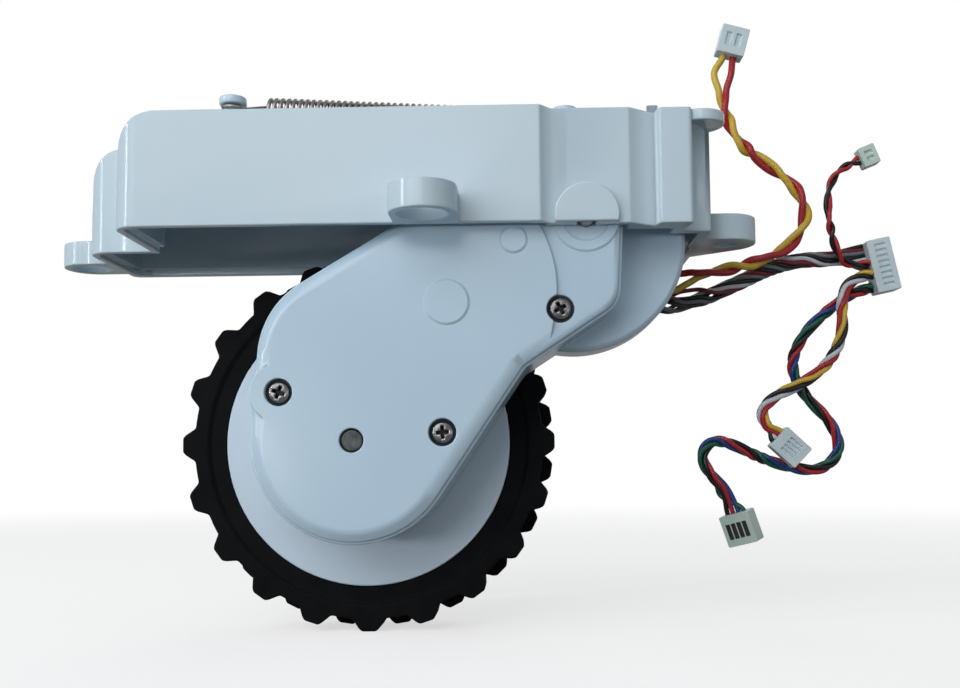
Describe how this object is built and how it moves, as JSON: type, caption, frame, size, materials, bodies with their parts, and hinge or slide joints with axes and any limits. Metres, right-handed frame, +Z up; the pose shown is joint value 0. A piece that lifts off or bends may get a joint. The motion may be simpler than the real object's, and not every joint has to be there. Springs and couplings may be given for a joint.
{
  "type": "robot vacuum wheel module",
  "caption": "Drive wheel module of a robot vacuum: a sprung arm with gearcase, motor and lugged tyre hangs from a tray-shaped housing, with its leads and connectors",
  "frame": {"origin": "axis of the left fixing ear's bore at the ear's underside", "axes": "+X right along the housing to the pivot end, +Y away from the gearcase cover, +Z up"},
  "size_m": [0.1689, 0.0596, 0.1199],
  "materials": {
    "white_plastic": "gloss",
    "hub_plastic": "gloss",
    "gear_nylon": "satin",
    "steel": "satin",
    "spring_steel": "satin",
    "brass": "satin",
    "tyre_rubber": "matt",
    "dark_plastic": "matt",
    "board": "satin",
    "lead_jacket": "satin",
    "connector_nylon": "satin"
  },
  "bodies": {
    "base": {"housing": "white_plastic", "suspension_spring": "spring_steel"},
    "arm": {"gear_case": "white_plastic", "gear_cover": "white_plastic", "cover_screws": "steel", "gear_pins": "steel", "front_bush": "brass", "rear_bush": "brass", "motor_can": "steel", "encoder_board": "board", "end_cap": "white_plastic", "front_pivot_pin": "steel", "rear_pivot_screw": "steel", "lead_grommet": "dark_plastic", "motor_lead": "lead_jacket", "main_lead": "lead_jacket", "sensor_lead": "lead_jacket", "inline_lead": "lead_jacket", "four_way_lead": "lead_jacket", "motor_connector": "connector_nylon", "sensor_connector": "connector_nylon", "inline_connector": "connector_nylon", "four_way_connector": "connector_nylon", "main_connector": "connector_nylon"},
    "wheel": {"wheel_shaft": "steel", "output_gear": "gear_nylon", "wheel_hub": "hub_plastic", "wheel_tyre": "tyre_rubber", "hub_screw": "steel"},
    "first_gear_body": {"first_gear": "gear_nylon"},
    "second_gear_body": {"second_gear": "gear_nylon"},
    "third_gear_body": {"third_gear": "gear_nylon"},
    "motor_rotor": {"motor_pinion": "brass", "motor_shaft": "steel", "encoder_magnet": "dark_plastic"}
  },
  "joints": [
    {"name": "arm_pivot", "type": "hinge", "parent": "base", "child": "arm", "pos_m": [0.098, 0, 0.0014], "axis": [0, 1, 0], "range_deg": [0, 28], "stiffness_Nm_per_rad": 0.15, "springref_deg": -45.84, "deforming": ["suspension_spring"]},
    {"name": "wheel_spin", "type": "hinge", "parent": "arm", "child": "wheel", "pos_m": [0.0578, 0, -0.0362], "axis": [0, 1, 0], "continuous": true},
    {"name": "third_spin", "type": "hinge", "parent": "arm", "child": "third_gear_body", "pos_m": [0.06304, 0, -0.02214], "axis": [0, 1, 0], "continuous": true},
    {"name": "second_spin", "type": "hinge", "parent": "arm", "child": "second_gear_body", "pos_m": [0.07404, 0, -0.01285], "axis": [0, 1, 0], "continuous": true},
    {"name": "first_spin", "type": "hinge", "parent": "arm", "child": "first_gear_body", "pos_m": [0.08554, 0, -0.00231], "axis": [0, 1, 0], "continuous": true},
    {"name": "motor_spin", "type": "hinge", "parent": "arm", "child": "motor_rotor", "pos_m": [0.098, 0, 0.0014], "axis": [0, 1, 0], "continuous": true}
  ],
  "couplings": [
    {"joint": "third_spin", "follows": "wheel_spin", "ratio": -3.1667},
    {"joint": "second_spin", "follows": "wheel_spin", "ratio": 9.5},
    {"joint": "first_spin", "follows": "wheel_spin", "ratio": -31.667},
    {"joint": "motor_spin", "follows": "wheel_spin", "ratio": 133}
  ]
}
